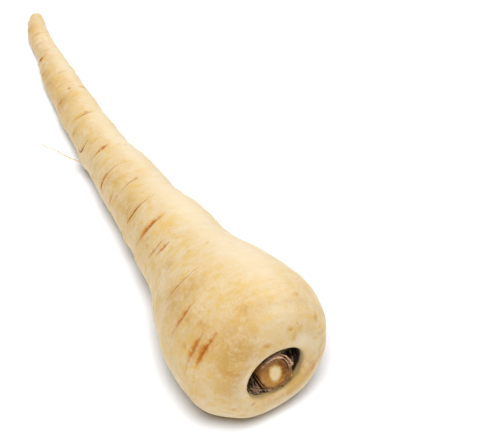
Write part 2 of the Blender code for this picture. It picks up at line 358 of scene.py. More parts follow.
def closed_shell(grid):
    """The points and the faces, turned outward, of a grid whose columns run round and whose first and last
    rows are one point each. Quads join the rows, and triangles join the end points to their rings."""
    rows, columns = grid.shape[0] - 2, grid.shape[1]
    points = per_point(grid)
    ring = np.arange(columns)
    after = np.roll(ring, -1)
    starts = 1 + columns * np.arange(rows - 1)[:, None]
    quads = np.stack([starts + ring, starts + after, starts + columns + after, starts + columns + ring], -1)
    quads = quads.reshape(-1, 4)
    last = 1 + columns * (rows - 1)
    first_cap = np.stack([0 * ring, 1 + after, 1 + ring], 1)
    last_cap = np.stack([0 * ring + len(points) - 1, last + ring, last + after], 1)
    triangles = np.concatenate([quads[:, :3], quads[:, [0, 2, 3]], first_cap, last_cap])
    turn = -1 if enclosed_volume(points, triangles) < 0 else 1
    return points, [faces[:, ::turn] for faces in (first_cap, quads, last_cap)]


def make_mesh(name, shells, shift):
    """One mesh of closed shells, with the shift taken off. Each is a grid of points in millimetres and its
    fields, which become attributes of the mesh's points: (grid, {attribute: values on the grid})."""
    all_points, all_faces, start = [], [], 0
    for grid, _ in shells:
        points, blocks = closed_shell(grid - shift)
        all_points.append(points)
        for faces in blocks:
            all_faces += (faces + start).tolist()
        start += len(points)
    data = bpy.data.meshes.new(name)
    data.from_pydata((np.concatenate(all_points) * MM).tolist(), [], all_faces)
    data.shade_smooth()
    for key in shells[0][1]:
        values = np.concatenate([per_point(fields[key]) for _, fields in shells])
        kind, part = ("FLOAT_COLOR", "color") if values.ndim > 1 else ("FLOAT", "value")
        field = data.attributes.new(key, kind, "POINT")
        field.data.foreach_set(part, np.ascontiguousarray(values, np.float32).ravel())
    return data


def add_bake_map(data, columns):
    """A UV map that unrolls the grid: u goes once round it, and v runs from its first row to its last."""
    corner_points = np.empty(len(data.loops), np.int32)
    data.loops.foreach_get("vertex_index", corner_points)
    sizes = np.empty(len(data.polygons), np.int32)
    data.polygons.foreach_get("loop_total", sizes)
    row = (corner_points - 1) // columns + 1
    column = (corner_points - 1) % columns
    rows = row.max()
    face = np.repeat(np.arange(len(sizes)), sizes)
    widest = np.zeros(len(sizes), int)
    np.maximum.at(widest, face, np.where((row > 0) & (row < rows), column, 0))
    over = (widest[face] == columns - 1) & (column == 0)
    u = (column + columns * over) / columns
    poles = (row == 0) | (row == rows)
    u[poles] = (widest[face[poles]] + 0.5) / columns
    layer = data.uv_layers.new(name="OFBake")
    layer.uv.foreach_set("vector", np.stack([u, row / rows], 1).astype(np.float32).ravel())


def place(data, look, slot, *nodes):
    """An object with its mesh's name and a material. It rides on the root, and replaces the solids named."""
    made = bpy.data.objects.new(data.name, data)
    bpy.context.scene.collection.objects.link(made)
    data.materials.append(look)
    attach(made, "root")
    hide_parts(*nodes)


# ---------------------------------------------------------------- the root's skin


def all_slits():
    """The slits in the list, and random ones on the sides that it leaves out, evenly spread along the root.
    The stronger one of them is, the wider, darker and warmer it is."""
    draw = np.random.default_rng(HIDDEN_SEED)
    rows = list(SLITS)
    for at in np.linspace(*HIDDEN_ALONG, HIDDEN_SLITS):
        middle, half = draw.uniform(*HIDDEN_MIDDLE), draw.uniform(*HIDDEN_HALF)
        strength = draw.uniform(0.2, 1) ** 1.5
        at = at + draw.uniform(-1, 1)
        peak = middle + draw.uniform(-half, half) / 2
        rows.append((at, middle - half, middle + half, peak, 0.2 + 0.35 * strength, 0.2 + 0.5 * strength,
                     0.2 + 0.8 * strength, draw.uniform(-0.6, 0.6)))
    return rows


def slit_fields(along, angle, wider, darker):
    """Where the slits are, on the grid: each point's signed distance ahead of the nearest one, its half width
    there, and its darkness; the warmth beside all of them; and the height that they add or take away. Towards
    its ends a slit fades with the square root of 1 - t^2, t being the share of its half length, and narrows
    with a power of that. It is also weaker away from its darkest angle, by a bell curve. Its groove, the rims
    beside it and its warm edges are bell curves across it."""
    ahead = np.full(along.shape, 9.0)
    size, dark, warm, height = (np.zeros(along.shape) for _ in range(4))
    for at, first, last, peak, half_width, darkness, warmth, bow in all_slits():
        half_width, darkness = half_width * wider, darkness * darker
        half = (last - first) / 2
        turn = wrapped(angle - math.radians(first + half)) / math.radians(half)
        reach = np.sqrt(np.clip(1 - turn**2, 0, 1))
        peaked = bell(angle, peak, 0.55 * half)
        offset = along - at - bow * (1 - turn**2)
        near = (np.abs(offset) < np.abs(ahead)) & (reach > 0)
        ahead = np.where(near, offset, ahead)
        within = near & (np.abs(offset) < 2.2 * half_width + 0.5)
        size = np.where(near, np.where(within, half_width * reach**0.6 * (0.55 + 0.45 * peaked), 0), size)
        dark = np.where(near, darkness * (0.35 + 0.65 * peaked), dark)
        strength = reach * (0.3 + 0.7 * peaked)
        warm = warm + warmth * strength * hump(offset, 1.1 * half_width + 0.45)
        groove = hump(offset, 0.8 * half_width + 0.15)
        rim = hump(np.abs(offset) - 1.6 * half_width - 0.4, 0.6)
        height = height + strength * (0.2 + darkness) * (GROOVE_RIM * rim - GROOVE_DEPTH * groove)
    return np.clip(ahead, -3, 3), size, dark, warm, height


def freckles():
    """Random small freckles as rows for spots, each tan and a little more orange."""
    draw = np.random.default_rng(FRECKLE_SEED)
    at, turn = draw.uniform(*FRECKLED, FRECKLES), draw.uniform(0, 360, FRECKLES)
    size, strength = draw.uniform(0.35, 1.1, FRECKLES), draw.uniform(0.1, 1, FRECKLES) ** 1.6
    width = size * draw.uniform(0.7, 1.6, FRECKLES)
    return np.stack([at, turn, size, width, 0.5 * strength, 0.7 * strength], 1)


def spots(distance, angle, radius, rows, column):
    """Soft spots: each is its strength times a bell curve of the distance along and the arc across."""
    total = np.zeros(angle.shape)
    for row in rows:
        at, turn, length, width = row[:4]
        across = wrapped(angle - math.radians(turn)) * radius
        total += row[column] * hump(distance - at, length) * hump(across, width)
    return total


def skin_height(along, angle, radius, sizes):
    """How far the skin stands off the plain form: bulges and dips as bell curves, wide lumps, the faint rings
    of a taproot, which are stronger towards the tip, and small wrinkles. The lumps and the wrinkles are lower
    where the root is thin."""
    height = np.zeros(angle.shape)
    for at, turn, swell, length, half_width in SWELLS:
        height += swell * hump(along - at, length) * bell(angle, turn, half_width)
    fullness = np.clip(radius / FULL_FROM, 0.25, 1)
    height += sizes.lumps * fullness * waves(along, angle, "lumps")
    near_tip = np.clip(1 - along / MORE_UP_TO, 0, 1)
    uneven = (1 + waves(along, angle, "uneven rings")) * (1 + RINGS_MORE * near_tip)
    height += sizes.rings * waves(along, angle, "growth rings") * uneven
    return height + sizes.rings * waves(along, angle, "wrinkles") * fullness


def make_skin_mesh(sizes):
    """The root's surface with its relief and its fields, laid down, pressed flat underneath, and put where
    the solid root is. Its unevenness fades out towards the lip, and its slits and stains a little further,
    inside the hollow."""
    points, angle, along, radius, inside = plain_root(sizes)
    shown = np.clip(1 - inside / SLITS_END, 0, 1)
    ahead, size, dark, warm, slit_height = slit_fields(along, angle, sizes.slit_width, sizes.slit_darkness)
    before_lip = np.where(along < BULB_AT, 1, np.clip((radius - HOLLOW_RADIUS) / LIP_FADE, 0, 1))
    height = shown * (skin_height(along, angle, radius, sizes) * before_lip + sizes.slit_depth * slit_height)
    on_crown = along > BULB_AT
    skin_length = np.cumsum(np.linalg.norm(np.diff(points, axis=0, prepend=points[:1]), axis=-1), 0)
    dotted = freckles()
    # tan below 0 is a pale patch: the long pale stains on the lit top and the ring on the lip are painted
    # highlight
    tan, orange = (spots(along, angle, radius, BODY_STAINS_AND_HIGHLIGHTS, column)
                   + spots(skin_length, angle, radius, dotted, column)
                   + on_crown * spots(radius, angle, radius, CROWN_STAINS_AND_HIGHLIGHTS, column) for column in (4, 5))
    dots = spots(along, angle, radius, [(at, turn, wide, wide, deep) for at, turn, wide, deep in DOTS], 4)
    height = close_ends(height - DOT_DEPTH * dots)

    laid = points + height[..., None] * normals(points)
    laid[..., 2] = np.maximum(laid[..., 2], GIVE)
    shift = root_shift(sizes)
    stray = max(np.abs(ours - shift - solid).max() for ours, solid in zip(corners(laid), solid_corners()))
    if stray > sizes.most_stray:
        raise RuntimeError(f"the skin strays {stray:.2f} mm from the solid root's box")
    marks = np.stack([warm, tan, orange, dots], -1) * shown[..., None]
    fields = {"slit_ahead": ahead, "slit_size": size * shown, "slit_dark": dark, "inside": inside,
              "marks": marks}
    data = make_mesh("taproot_skin", [(laid, fields)], shift)
    add_bake_map(data, sizes.sides)
    return data


# ---------------------------------------------------------------- materials


def new_material(name, roughness, specular):
    """A material with one Principled shader, whose roughness is even until finish gives it a pattern:
    (material, node tree, shader)."""
    made = bpy.data.materials.new(name)
    made.use_nodes = True
    shader = made.node_tree.nodes["Principled BSDF"]
    shader.inputs["Roughness"].default_value = roughness
    shader.inputs["Specular IOR Level"].default_value = specular
    return made, made.node_tree, shader


def add_node(tree, kind, inputs=None, **settings):
    """A shader node with its settings, and its inputs joined to a socket or given a value."""
    made = tree.nodes.new("ShaderNode" + kind)
    for key, value in settings.items():
        setattr(made, key, value)
    for key, value in (inputs or {}).items():
        if isinstance(value, bpy.types.NodeSocket):
            tree.links.new(value, made.inputs[key])
        else:
            made.inputs[key].default_value = value
    return made


def read(tree, name):
    """A number kept at each point of the mesh."""
    return add_node(tree, "Attribute", attribute_name=name).outputs["Fac"]


def noise(tree, scale, detail, roughness=0.5, distortion=0.0, stretch=(1, 1, 1)):
    """Cloudy noise from 0 to 1, scale being its lumps per metre. Each axis is first stretched by a factor."""
    here = add_node(tree, "TexCoord").outputs["Object"]
    where = add_node(tree, "Mapping", {"Vector": here, "Scale": stretch}).outputs["Vector"]
    inputs = {"Vector": where, "Scale": scale, "Detail": detail, "Roughness": roughness,
              "Distortion": distortion}
    return add_node(tree, "TexNoise", inputs).outputs["Fac"]


def ramp(tree, value, low, high, top=1.0, bottom=0.0):
    """A smooth rise from bottom to top as value goes from low to high."""
    return add_node(tree, "MapRange", {0: value, 1: low, 2: high, 3: bottom, 4: top},
                    interpolation_type="SMOOTHSTEP").outputs[0]


def work_out(tree, operation, first, second=0.0):
    """The result of an operation, such as ADD, on two numbers."""
    return add_node(tree, "Math", {0: first, 1: second}, operation=operation).outputs[0]


def wavy(tree, value, field, swing):
    """The value plus a noise that is brought between minus and plus the swing."""
    return work_out(tree, "ADD", value, ramp(tree, field, 0.2, 0.8, swing, -swing))


def layered(tree, colours, first, *layers):
    """The first colour with layers over it: (the share that a layer covers, the name of its colour)."""
    colour = (*getattr(colours, first), 1)
    for share, name in layers:
        inputs = {0: share, 6: colour, 7: (*getattr(colours, name), 1)}
        colour = add_node(tree, "Mix", inputs, data_type="RGBA").outputs[2]
    return colour


def finish(tree, shader, colour, rough, *bumps):
    """Joins the shader to its colour, its roughness and a normal bent by bumps. Each bump is a height from 0
    to 1, a strength, and the distance in metres that a height of 1 stands for."""
    tree.links.new(colour, shader.inputs["Base Color"])
    tree.links.new(rough, shader.inputs["Roughness"])
    inputs = {}
    for height, strength, distance in bumps:
        inputs.update({"Height": height, "Strength": strength, "Distance": distance})
        inputs["Normal"] = add_node(tree, "Bump", inputs).outputs["Normal"]
    tree.links.new(inputs["Normal"], shader.inputs["Normal"])


def let_light_in(shader, scale):
    """Spreads part of the light under the surface, by scale metres and the most in red."""
    shader.inputs["Subsurface Weight"].default_value = 0.15
    shader.inputs["Subsurface Radius"].default_value = (1.0, 0.6, 0.3)
    shader.inputs["Subsurface Scale"].default_value = scale


def skin_material(colours):
    """Cream skin: cloudy yellow patches, fine streaks across the root and pores, tan and orange stains, dark
    slits with warm edges, and a hollow that turns tan and then near black towards its floor, partly its own
    dark colour and partly painted shade. A stain below 0 is a pale patch; the long pale ones on the lit top
    and the ring on the hollow's lip are painted highlight."""
    look, tree, shader = new_material("parsnip_skin", 0.5, 0.3)
    clouds = noise(tree, 42, 4, 0.55, 0.3)
    mottle = noise(tree, 130, 3, 0.5, 0.2)
    patches = noise(tree, 360, 2, 0.5, 0.3, stretch=(1, 0.75, 0.75))
    rough_edge = noise(tree, 420, 3, 0.6)
    flecks = noise(tree, 700, 3, 0.6, 0.4)
    streaks = noise(tree, 1100, 3, 0.6, stretch=(1, 0.07, 0.07))
    grain = noise(tree, 1500, 3, 0.7)
    pores = noise(tree, 2600, 2)
    marks = add_node(tree, "Attribute", attribute_name="marks")
    warm, tan, orange = add_node(tree, "SeparateColor", {0: marks.outputs["Color"]}).outputs
    dots = marks.outputs["Alpha"]
    inside = read(tree, "inside")

    uneven = ramp(tree, work_out(tree, "ADD", mottle, flecks), 0.75, 1.25, 1.5, 0.5)
    halo = work_out(tree, "MULTIPLY", warm, ramp(tree, rough_edge, 0.3, 0.6, 1.0, 0.35))
    offset = work_out(tree, "ADD", read(tree, "slit_ahead"), ramp(tree, rough_edge, 0, 1, 0.22, -0.22))
    size = work_out(tree, "MULTIPLY", read(tree, "slit_size"), ramp(tree, rough_edge, 0.3, 0.6, 1.1, 0.35))
    share = work_out(tree, "DIVIDE", work_out(tree, "ABSOLUTE", offset), work_out(tree, "ADD", size, 0.02))
    line = work_out(tree, "MULTIPLY", ramp(tree, share, 1.15, 0.35), read(tree, "slit_dark"))
    line = work_out(tree, "MINIMUM", line, 1.0)
    colour = layered(
        tree, colours, "cream",
        (ramp(tree, clouds, 0.35, 0.68), "deep_cream"),
        (ramp(tree, mottle, 0.5, 0.76, 0.6), "yellow"),
        (ramp(tree, mottle, 0.5, 0.22, 0.42), "pale"),
        (ramp(tree, patches, 0.5, 0.7, 0.7), "yellow"),
        (ramp(tree, patches, 0.48, 0.28, 0.22), "pale"),
        (ramp(tree, streaks, 0.5, 0.75, 0.45), "yellow"),
        (ramp(tree, streaks, 0.44, 0.25, 0.15), "pale"),
        (ramp(tree, grain, 0.42, 0.72, 0.34), "tan"),
        (ramp(tree, flecks, 0.58, 0.72, 0.7), "yellow"),
        (ramp(tree, work_out(tree, "ADD", flecks, clouds), 1.2, 1.36, 0.8), "tan"),
        (ramp(tree, pores, 0.68, 0.78, 0.5), "tan"),
        # painted highlight: the pale patches where tan is below 0
        (ramp(tree, tan, 0, -1, 0.72), "pale"),
        (work_out(tree, "MULTIPLY", tan, uneven), "tan"),
        (work_out(tree, "MULTIPLY", orange, uneven), "orange"),
        (ramp(tree, halo, 0, 0.9), "orange"),
        (line, "crack"),
        (ramp(tree, line, 0.6, 1.1, 0.8), "slit"),
        (work_out(tree, "MINIMUM", dots, 0.9), "crack"),
        # tan and then near black down the hollow's wall: partly the crown's own dark colour, partly painted
        # shade in the recess
        (ramp(tree, inside, 0.02, 0.3, 0.35), "tan"),
        (ramp(tree, wavy(tree, inside, mottle, 0.06), 0.36, 0.52), "hollow"),
    )
    rough = ramp(tree, work_out(tree, "ADD", grain, mottle), 0.6, 1.4, 0.62, 0.42)
    uncut = work_out(tree, "SUBTRACT", 1.0, line)
    finish(tree, shader, colour, rough, (mottle, 0.25, 0.0008), (streaks, 0.35, 0.00025),
           (grain, 0.3, 0.00012), (uncut, 0.6, 0.0003))
    let_light_in(shader, 0.002)
    shader.inputs["Sheen Weight"].default_value = 0.2
    shader.inputs["Sheen Roughness"].default_value = 0.4
    shader.inputs["Sheen Tint"].default_value = (1, 0.9, 0.75, 1)
    return look


def leaf_material(colours):
    """Dried leaf bases: near black, with brown fibres, and paler grey along their thin torn edges. The outer
    scales are darkened further by painted shade, except on the lit side.
    """
    look, tree, shader = new_material("dried_leaf_bases", 0.75, 0.15)
    patches = noise(tree, 500, 4, 0.6, 0.3)
    fibres = noise(tree, 2600, 3, 0.6, stretch=(0.15, 1, 1))
    edge = work_out(tree, "MULTIPLY", read(tree, "edge"), ramp(tree, patches, 0.25, 0.6, 1.0, 0.2))
    colour = layered(
        tree, colours, "leaf_dark",
        (ramp(tree, patches, 0.35, 0.68), "leaf_brown"),
        (edge, "leaf_pale"),
        (ramp(tree, fibres, 0.5, 0.75, 0.55), "leaf_dark"),
        # painted shade on the outer scales, as if cast by the lip
        (ramp(tree, read(tree, "painted_shade"), 0, 1, 0.85), "leaf_dark"),
    )
    rough = ramp(tree, fibres, 0.3, 0.7, 0.85, 0.6)
    finish(tree, shader, colour, rough, (fibres, 0.7, 0.0003), (patches, 0.5, 0.0006))
    return look


def sheath_material(colours):
    """The torn sheath: brown below, pinkish beige along its torn edge."""
    look, tree, shader = new_material("torn_sheath", 0.65, 0.2)
    patches = noise(tree, 700, 4, 0.6, 0.2)
    fibres = noise(tree, 2400, 3, 0.6, stretch=(0.15, 1, 1))
    colour = layered(
        tree, colours, "leaf_brown",
        (ramp(tree, patches, 0.3, 0.7), "ring"),
        (ramp(tree, wavy(tree, read(tree, "edge"), patches, 0.25), 0.45, 0.9), "torn"),
        (ramp(tree, fibres, 0.55, 0.8, 0.5), "leaf_brown"),
    )
    finish(tree, shader, colour, ramp(tree, fibres, 0.3, 0.7, 0.8, 0.55), (fibres, 0.5, 0.0003))
    return look


def stub_material(colours):
    """The cut stalk: a cream pith in an orange-brown ring that darkens towards the rim and down the side.
    Painted shade darkens the ring on one side, and the other side is golden.
    """
    look, tree, shader = new_material("cut_stalk", 0.6, 0.15)
    patches = noise(tree, 550, 4, 0.6, 0.4)
    cells = noise(tree, 3000, 3, 0.6)
    pith = wavy(tree, read(tree, "pith"), patches, 0.12)
    turned = wavy(tree, read(tree, "turned"), patches, 0.3)
    rim = wavy(tree, read(tree, "rim"), patches, 0.15)
    colour = layered(
        tree, colours, "ring",
        # painted shade: the ring is darker on its side towards 50 degrees, golden on the other
        (ramp(tree, turned, 0.45, 0.75), "ring_deep"),
        (ramp(tree, turned, 0.45, 0.15, 0.55), "pith_edge"),
        (ramp(tree, pith, 1.4, 0.85), "pith_edge"),
        (ramp(tree, pith, 1.1, 0.6), "pith"),
        (ramp(tree, rim, 0.75, 1, 0.8), "leaf_brown"),
    )
    rough = ramp(tree, cells, 0.3, 0.7, 0.7, 0.5)
    finish(tree, shader, colour, rough, (cells, 0.4, 0.0002), (patches, 0.4, 0.0005))
    let_light_in(shader, 0.0015)
    return look


def rootlet_material(colours):
    """The fine side root: pale, with tan patches along it."""
    look, tree, shader = new_material("side_root", 0.6, 0.3)
    patches = noise(tree, 350, 3, 0.6)
    colour = layered(tree, colours, "pale", (ramp(tree, patches, 0.4, 0.7), "tan"))
    finish(tree, shader, colour, ramp(tree, patches, 0.3, 0.7, 0.7, 0.5), (patches, 0.4, 0.0002))
    return look


def floor_material(colours):
    """Matt pale paper, with the faintest grain."""
    look, tree, shader = new_material("pale_floor", 0.9, 0.1)
    colour = layered(tree, colours, "floor", (ramp(tree, noise(tree, 300, 2), 0, 1, 0.02), "floor_grain"))
    tree.links.new(colour, shader.inputs["Base Color"])
    return look


# ---------------------------------------------------------------- the crown's pieces and the side root

# Each leaf base is a nest of scales: radius, first and last angle, depth of the top, thickness, raggedness,
# and how far the top leans outward
LEAF_BASES = {
    "leaf_base_upper": [
        (11.7, 10, 176, 4.4, 0.8, 0.3, 0), (10.8, 16, 170, 3.2, 0.7, 0.35, 0.1),
        (9.9, 22, 164, 2.2, 0.7, 0.35, 0.1), (9.1, 28, 156, 1.9, 0.6, 0.35, 0.1),
        (8.3, 36, 148, 2.1, 0.6, 0.3, 0.1), (7.6, 50, 140, 2.5, 0.5, 0.25, 0),
    ],
    "leaf_base_lower": [
        (11.8, 172, 256, 2.9, 0.6, 0.2, 0.1), (11.1, 178, 262, 2.1, 0.5, 0.2, 0.1),
        (10.4, 174, 252, 1.8, 0.5, 0.25, 0.1), (9.7, 180, 256, 1.9, 0.5, 0.3, 0.1),
        (9, 168, 242, 1.7, 0.5, 0.3, 0.1), (8.3, 176, 236, 1.7, 0.5, 0.25, 0),
        (8.8, 224, 272, 1, 1.3, 0.4, 0.1),
    ],
    "leaf_base_right": [
        (11.5, 276, 366, 5.2, 0.8, 0.3, 0.1), (10.2, 262, 312, 1.3, 1, 0.4, 0.1),
        (9.5, 280, 374, 4.2, 0.7, 0.3, 0.2), (8.6, 268, 340, 3.2, 0.7, 0.3, 0),
    ],
}
SCALE_SEEDS = (100, 20, 5)  # the first scale's, and the steps to the next leaf base's and the next scale's
LIT_SIDE = (165, 235)  # scales whose first angle lies between these face the light and get no painted shade

# The sheath's two layers: radius inside, and then as above; last, the seed
SHEATH = [
    (SHEATH_INSIDE, -178, 176, 0.7, 0.45, 0.2, 0.3, 40),
    (SHEATH_INSIDE + 0.6, -65, 125, 0.9, 0.35, 0.22, 1.2, 50),
]
FOOT = HOLLOW_DEPTH - GAP  # the depth at which the crown's pieces stand
SCALE_STEPS, SHEATH_STEPS, WALL_LOOP = 110, 240, 22  # points along a scale and the sheath, and round both
PITH_MIDDLE, PITH_HALF = (0.1, 0.5), (2.6, 3.6)  # the pith is an ellipse on the cut face


def upright_wall(peak, top):
    """The section of a thin wall, as a loop of points round a rounded rectangle from the hollow's floor up to
    the peak's depth. For each point: its depth, its place from 1 outside to -1 inside, and its height as a
    share of the height up to top."""
    section = np.linspace(0, TAU, WALL_LOOP, endpoint=False)
    rise = np.sign(np.sin(section)) * np.abs(np.sin(section)) ** 0.4
    out = np.sign(np.cos(section)) * np.abs(np.cos(section)) ** 0.6
    depth = (FOOT + peak) / 2 - (FOOT - peak) / 2 * rise
    return depth, out, np.clip((FOOT - depth) / (FOOT - top), 0, 1.2)


def steps_round(first, last, steps):
    """Even shares of the way from 0 to 1, and the angles there from first to last, as columns."""
    share = np.linspace(0, 1, steps)[:, None]
    return share, math.radians(first) + math.radians(last - first) * share


def dried_scale(radius, first, last, top, thickness, rag, flare, seed):
    """One dried scale: a thin curved wall round the stalk with a ragged top edge. It thins and sinks to a
    point at both ends with a power of a sine, leans outward with the square of its height, and thins towards
    its top. Fine upright ridges run over it, and it is pale along its edge. The outer scales are darkened by
    painted shade, as if cast by the lip, except on the lit side. Returns the grid and its fields."""
    share, angle = steps_round(first, last, SCALE_STEPS)
    body = np.sin(math.pi * share) ** 0.35
    teeth = waves(0, angle, "scale teeth", seed) + waves(0, angle, "fine scale teeth", seed)
    depth, out, height = upright_wall(FOOT + (top + rag * teeth - FOOT) * body, top)
    ridges = waves(0.35 * depth, angle, "scale ridges", seed) * np.clip(height, 0, 1)
    wander = waves(0, angle, "scale wander", seed)
    half = thickness / 2 * body * (1 - 0.45 * height**2)
    grid = crown_point(radius + wander + flare * height**2 + out * half + ridges, angle, depth)
    edge = np.clip((height - 0.8) / 0.2, 0, 1) * (0.4 + 0.6 * (angle > math.pi))
    # painted shade on the outer scales, as if cast by the lip; none on the lit side
    lit = LIT_SIDE[0] < first < LIT_SIDE[1]
    painted_shade = np.full(edge.shape, 0 if lit else np.clip((radius - 8) / 3, 0, 1))
    return close_ends(grid), {"edge": edge, "painted_shade": painted_shade}


def torn_layer(radius, first, last, top, thickness, rag, flare, seed):
    """A thin wall round the stalk with a ragged edge that follows the slanted cut: its depth grows with the
    height above the stalk's middle. It thins to a point at both ends, and leans out towards one side with the
    fourth power of its height. Returns the grid and its fields."""
    share, angle = steps_round(first, last, SHEATH_STEPS)
    body = np.clip(np.sin(math.pi * share) * 6, 0, 1) ** 0.5
    teeth = waves(0, angle, "sheath teeth", seed) + waves(0, angle, "fine sheath teeth", seed)
    top = top + math.tan(STALK_SLANT) * (radius + thickness) * np.sin(angle)
    depth, out, height = upright_wall(FOOT + (top + rag * teeth - FOOT) * body, top)
    half = thickness / 2 * body * (1 - 0.5 * height**2)
    ridges = waves(0.3 * depth, angle, "sheath ridges", seed)
    lean = flare * (0.25 + 0.75 * bell(angle, 25, 50)) * height**4
    grid = crown_point(radius + thickness / 2 + lean + out * half + ridges, angle, depth, STALK_MIDDLE)
    edge = np.clip((height - 0.6) / 0.25, 0, 1) * (0.2 + 0.8 * bell(angle, 55, 75))
    return close_ends(grid), {"edge": edge}


def cut_stalk(face_rows=56, side_rows=24, foot_rows=10, columns=120):
    """The cut stalk: rows run from the middle of the slanted cut face out to a worn rim, down the side and in
    under the foot. The pith stands a little proud as an ellipse, and its field is 1 on the pith's edge.
    Ridges and grain run over the ring round it. Returns the grid and its fields."""
    out = np.concatenate([np.linspace(0, 1, face_rows), np.ones(side_rows), np.linspace(0.9, 0, foot_rows)])
    down = np.concatenate([np.zeros(face_rows), np.linspace(0.02, 1, side_rows), np.ones(foot_rows)])
    out, down = out[:, None], down[:, None]
    on_face = down == 0
    angle = np.linspace(0, TAU, columns, endpoint=False)[None]
    uneven = waves(0, angle, "stalk girth") + waves(0, angle, "fine stalk girth")
    radius = STALK_RADIUS * out * (1 + uneven * out)
    across, up = radius * np.cos(angle), radius * np.sin(angle)
    pith = np.hypot((across - PITH_MIDDLE[0]) / PITH_HALF[0], (up - PITH_MIDDLE[1]) / PITH_HALF[1])
    worn = 0.9 * np.where(on_face, np.clip((out - 0.86) / 0.14, 0, 1) ** 2, 1)
    ridges = waves(2 * radius, angle, "cut ridges") + waves(0.5 * radius, angle, "cut grain")
    relief = 0.2 * np.exp(-((pith / 0.9) ** 4)) + ridges * np.clip(2 * pith - 1.2, 0, 1)
    top = STALK_DEPTH + math.tan(STALK_SLANT) * up + worn - relief * on_face
    grid = crown_point(radius, angle, top + (FOOT - top) * down, STALK_MIDDLE)
    fields = {
        "pith": np.where(on_face, pith, 9.0),
        "rim": np.broadcast_to(np.where(on_face, out, 1 + down), pith.shape),
        # 1 on the ring's side towards 50 degrees, which painted shade darkens
        "turned": 0.5 + 0.5 * out * np.cos(angle - math.radians(50)),
    }
    return close_ends(grid), fields


def side_root(steps=90, sides=12):
    """The side root: a thin tube along a smooth curve through its route, a little wavy, and thinner towards
    its end. Each ring is square to the curve. Returns the grid."""
    route = np.array(ROOTLET_ROUTE, float)
    knots = np.arange(len(route))
    t = np.linspace(0, len(route) - 1, steps)
    line = np.stack([smooth(t, list(zip(knots, route[:, k]))) for k in range(3)], 1)
    line[:, 1] += 0.25 * np.sin(2.6 * t) * np.clip(t, 0, 1)
    line[:, 2] += 0.2 * np.cos(3.7 * t) * np.clip(t, 0, 1)
    ahead = unit(np.gradient(line, axis=0))
    side = unit(np.cross(ahead, (0, 0, 1)))
    above = np.cross(side, ahead)
    angle = np.linspace(0, TAU, sides, endpoint=False)[None, :, None]
    share = (t / t[-1])[:, None, None]
    thickness = ROOTLET_RADIUS * (1.15 - 0.75 * share) * (1 + 0.12 * np.sin(9 * share * TAU))
    tube = line[:, None] + thickness * (np.cos(angle) * side[:, None] + np.sin(angle) * above[:, None])
    return np.concatenate([line[:1, None] + 0 * tube[:1], tube, line[-1:, None] + 0 * tube[:1]])


# ---------------------------------------------------------------- settings


def colour_setting(name, description, default):
    """A colour to choose in the panel."""
    return FloatVectorProperty(name=name, description=description, default=default, subtype="COLOR", size=3,
                               min=0, max=1)


class SkinSizes(bpy.types.PropertyGroup):
    """How fine the skin's mesh is, and how uneven it is."""

    rows: IntProperty(name="Rows", description="Rows of faces from tip to hollow", default=660, min=100)
    sides: IntProperty(name="Sides", description="Faces round the root", default=144, min=24)
    lumps: FloatProperty(name="Lumps", description="Usual height of wide lumps in mm", default=0.14, min=0)
    rings: FloatProperty(name="Rings", description="Usual height of growth rings in mm", default=0.035, min=0)
    slit_width: FloatProperty(name="Slit width", description="Factor on their width", default=1.25, min=0)
    slit_darkness: FloatProperty(name="Slit darkness", description="Factor on their darkness", default=1.2,
                                 min=0)
    slit_depth: FloatProperty(name="Slit depth", description="Factor on their depth", default=1.0, min=0)
    most_stray: FloatProperty(name="Most stray", description="How far in mm the skin's box may be from the "
                              "solid root's", default=1.5, min=0)


class ParsnipColours(bpy.types.PropertyGroup):
    """The colours of the skin and of the crown."""

    cream: colour_setting("Cream", "The skin's main colour", (0.735, 0.565, 0.325))
    deep_cream: colour_setting("Deep cream", "The deeper of the skin's two creams", (0.71, 0.515, 0.255))
    pale: colour_setting("Pale", "Paler patches of the skin", (0.80, 0.68, 0.475))
    yellow: colour_setting("Yellow", "Yellow patches and streaks", (0.72, 0.465, 0.105))
    tan: colour_setting("Tan", "Tan stains", (0.58, 0.365, 0.115))
    orange: colour_setting("Orange", "Orange-brown spots and the edges of the slits", (0.58, 0.23, 0.015))
    crack: colour_setting("Crack", "The brown of a shallow slit", (0.40, 0.112, 0.010))
    slit: colour_setting("Slit", "The dark inside of the slits", (0.20, 0.075, 0.02))
    # near black: partly the crown's own dark colour, partly painted shade deep in the hollow
    hollow: colour_setting("Hollow", "The hollow's wall low down, and its floor", (0.036, 0.017, 0.008))
    # also the colour of the painted shade on the outer scales
    leaf_dark: colour_setting("Leaf dark", "The darkest parts of the leaf bases", (0.018, 0.0095, 0.0055))
    leaf_brown: colour_setting("Leaf brown", "The brown parts of the leaf bases", (0.30, 0.165, 0.065))
    leaf_pale: colour_setting("Leaf edge", "The pale torn edges of the scales", (0.60, 0.40, 0.26))
    torn: colour_setting("Torn edge", "The torn edge of the sheath", (0.82, 0.56, 0.38))
    ring: colour_setting("Ring", "The ring of the cut stalk", (0.38, 0.15, 0.022))
    # the ring's colour where painted shade darkens it
    ring_deep: colour_setting("Deep ring", "The darker parts of the ring", (0.18, 0.06, 0.01))
    pith_edge: colour_setting("Pith edge", "Between the ring and the pith", (0.54, 0.29, 0.07))
    pith: colour_setting("Pith", "The middle of the cut stalk", (0.74, 0.58, 0.32))


